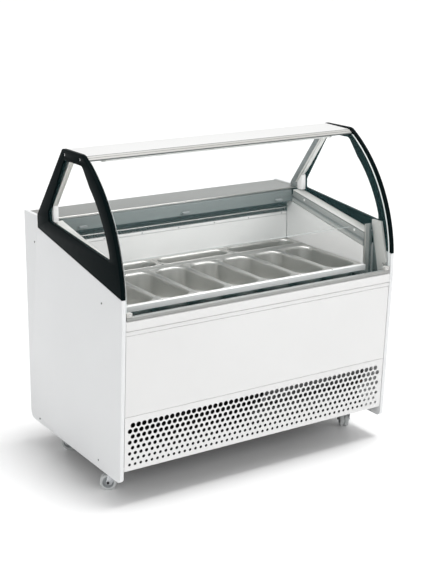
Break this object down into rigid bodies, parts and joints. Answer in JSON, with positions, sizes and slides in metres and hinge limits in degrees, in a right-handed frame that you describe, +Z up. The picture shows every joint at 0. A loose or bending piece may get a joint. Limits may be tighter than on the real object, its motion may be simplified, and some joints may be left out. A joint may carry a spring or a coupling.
{
  "type": "ice cream dipping cabinet",
  "caption": "Refrigerated ice cream dipping cabinet on casters: curved tilting glass front, open pans in two rows, perforated lower grille, slanted side trims and a rear worktop.",
  "frame": {"origin": "middle of the footprint, on the floor under the casters", "axes": "+Z up, +X to the right seen by a customer in front, -Y towards the customer, +Y towards the server"},
  "size_m": [1.32, 0.865, 1.358],
  "materials": {
    "white_paint": "satin white paint",
    "white_liner": "matt white liner over foam",
    "black_frame": "satin black",
    "pan_steel": "brushed",
    "aluminium": "satin anodised",
    "grey_profile": "satin dark grey",
    "dark_plastic": "fine texture",
    "clear_glass": "clear",
    "lamp_cover": "frosted",
    "zinc_steel": "zinc plated",
    "grey_tread": "light grey",
    "black_enamel": "gloss black"
  },
  "bodies": {
    "cabinet": {"base_frame": "black_enamel", "side_panel_left": "white_paint", "side_panel_right": "white_paint", "insulated_tank": "white_liner", "inner_wall_left": "white_liner", "inner_wall_right": "white_liner", "rear_wall": "white_liner", "air_outlet": "grey_profile", "rear_band": "grey_profile", "worktop": "aluminium", "rear_panel": "white_paint", "control_panel": "dark_plastic", "mains_inlet": "dark_plastic", "front_rail": "white_paint", "front_panel": "white_paint", "front_grille": "white_paint", "front_support_bar": "white_paint", "middle_bar": "pan_steel", "pan_filler": "pan_steel", "slanted_trim_left": "grey_profile", "slanted_trim_right": "grey_profile", "corner_post_left": "aluminium", "corner_post_right": "aluminium", "end_frame_left": "black_frame", "end_frame_right": "black_frame", "side_glass_left": "clear_glass", "side_glass_right": "clear_glass", "inner_post_left": "aluminium", "inner_post_right": "aluminium", "canopy": "white_paint", "lamp": "lamp_cover", "condenser": "grey_profile", "fan_shroud": "zinc_steel", "compressor": "black_enamel", "evaporator": "aluminium"},
    "front_glass": {"front_glass": "clear_glass", "glass_profile": "aluminium"},
    "rear_flap": {"rear_flap": "clear_glass"},
    "front_pan_1": {"front_pan_1": "pan_steel"},
    "front_pan_2": {"front_pan_2": "pan_steel"},
    "front_pan_3": {"front_pan_3": "pan_steel"},
    "front_pan_4": {"front_pan_4": "pan_steel"},
    "front_pan_5": {"front_pan_5": "pan_steel"},
    "front_pan_6": {"front_pan_6": "pan_steel"},
    "front_pan_7": {"front_pan_7": "pan_steel"},
    "rear_pan_1": {"rear_pan_1": "pan_steel"},
    "rear_pan_2": {"rear_pan_2": "pan_steel"},
    "rear_pan_3": {"rear_pan_3": "pan_steel"},
    "caster_fork_front_left": {"caster_fork_front_left": "zinc_steel"},
    "caster_wheel_front_left": {"caster_wheel_front_left": "grey_tread"},
    "caster_fork_front_right": {"caster_fork_front_right": "zinc_steel"},
    "caster_wheel_front_right": {"caster_wheel_front_right": "grey_tread"},
    "caster_fork_rear_left": {"caster_fork_rear_left": "zinc_steel"},
    "caster_wheel_rear_left": {"caster_wheel_rear_left": "grey_tread"},
    "caster_fork_rear_right": {"caster_fork_rear_right": "zinc_steel"},
    "caster_wheel_rear_right": {"caster_wheel_rear_right": "grey_tread"},
    "fan_rotor": {"fan_rotor": "dark_plastic"},
    "power_switch": {"power_switch": "dark_plastic"},
    "lamp_switch": {"lamp_switch": "dark_plastic"},
    "set_button": {"set_button": "lamp_cover"}
  },
  "joints": [
    {"name": "front_glass_tilt", "type": "hinge", "parent": "cabinet", "child": "front_glass", "pos_m": [0, -0.4305, 0.7695], "axis": [1, 0, 0], "range_deg": [0, 75]},
    {"name": "rear_flap_lift", "type": "hinge", "parent": "cabinet", "child": "rear_flap", "pos_m": [0, 0.2, 0.995], "axis": [-1, 0, 0], "range_deg": [0, 38]},
    {"name": "front_pan_1_lift", "type": "slide", "parent": "cabinet", "child": "front_pan_1", "axis": [0, 0, 1], "range_m": [0, 0.13]},
    {"name": "front_pan_2_lift", "type": "slide", "parent": "cabinet", "child": "front_pan_2", "axis": [0, 0, 1], "range_m": [0, 0.13]},
    {"name": "front_pan_3_lift", "type": "slide", "parent": "cabinet", "child": "front_pan_3", "axis": [0, 0, 1], "range_m": [0, 0.13]},
    {"name": "front_pan_4_lift", "type": "slide", "parent": "cabinet", "child": "front_pan_4", "axis": [0, 0, 1], "range_m": [0, 0.13]},
    {"name": "front_pan_5_lift", "type": "slide", "parent": "cabinet", "child": "front_pan_5", "axis": [0, 0, 1], "range_m": [0, 0.13]},
    {"name": "front_pan_6_lift", "type": "slide", "parent": "cabinet", "child": "front_pan_6", "axis": [0, 0, 1], "range_m": [0, 0.13]},
    {"name": "front_pan_7_lift", "type": "slide", "parent": "cabinet", "child": "front_pan_7", "axis": [0, 0, 1], "range_m": [0, 0.13]},
    {"name": "rear_pan_1_lift", "type": "slide", "parent": "cabinet", "child": "rear_pan_1", "axis": [0, 0, 1], "range_m": [0, 0.13]},
    {"name": "rear_pan_2_lift", "type": "slide", "parent": "cabinet", "child": "rear_pan_2", "axis": [0, 0, 1], "range_m": [0, 0.13]},
    {"name": "rear_pan_3_lift", "type": "slide", "parent": "cabinet", "child": "rear_pan_3", "axis": [0, 0, 1], "range_m": [0, 0.13]},
    {"name": "caster_front_left_swivel", "type": "hinge", "parent": "cabinet", "child": "caster_fork_front_left", "pos_m": [-0.588, -0.215, 0.1], "axis": [0, 0, 1], "continuous": true},
    {"name": "caster_front_left_roll", "type": "hinge", "parent": "caster_fork_front_left", "child": "caster_wheel_front_left", "pos_m": [-0.61005, -0.20122, 0.033], "axis": [-0.5299, -0.848, 0], "continuous": true},
    {"name": "caster_front_right_swivel", "type": "hinge", "parent": "cabinet", "child": "caster_fork_front_right", "pos_m": [0.588, -0.215, 0.1], "axis": [0, 0, 1], "continuous": true},
    {"name": "caster_front_right_roll", "type": "hinge", "parent": "caster_fork_front_right", "child": "caster_wheel_front_right", "pos_m": [0.601, -0.19248, 0.033], "axis": [-0.866, 0.5, 0], "continuous": true},
    {"name": "caster_rear_left_swivel", "type": "hinge", "parent": "cabinet", "child": "caster_fork_rear_left", "pos_m": [-0.588, 0.255, 0.1], "axis": [0, 0, 1], "continuous": true},
    {"name": "caster_rear_left_roll", "type": "hinge", "parent": "caster_fork_rear_left", "child": "caster_wheel_rear_left", "pos_m": [-0.5667, 0.24009, 0.033], "axis": [0.5736, 0.8191, 0], "continuous": true},
    {"name": "caster_rear_right_swivel", "type": "hinge", "parent": "cabinet", "child": "caster_fork_rear_right", "pos_m": [0.588, 0.255, 0.1], "axis": [0, 0, 1], "continuous": true},
    {"name": "caster_rear_right_roll", "type": "hinge", "parent": "caster_fork_rear_right", "child": "caster_wheel_rear_right", "pos_m": [0.61243, 0.26389, 0.033], "axis": [-0.342, 0.9397, 0], "continuous": true},
    {"name": "fan_spin", "type": "hinge", "parent": "cabinet", "child": "fan_rotor", "pos_m": [0.33, -0.225, 0.33], "axis": [0, 1, 0], "continuous": true},
    {"name": "power_switch_rock", "type": "hinge", "parent": "cabinet", "child": "power_switch", "pos_m": [0.33, 0.416, 0.935], "axis": [-1, 0, 0], "range_deg": [0, 14]},
    {"name": "lamp_switch_rock", "type": "hinge", "parent": "cabinet", "child": "lamp_switch", "pos_m": [0.375, 0.416, 0.935], "axis": [-1, 0, 0], "range_deg": [0, 14]},
    {"name": "set_button_press", "type": "slide", "parent": "cabinet", "child": "set_button", "axis": [0, -1, 0], "range_m": [0, 0.002], "stiffness_N_per_m": 300}
  ]
}
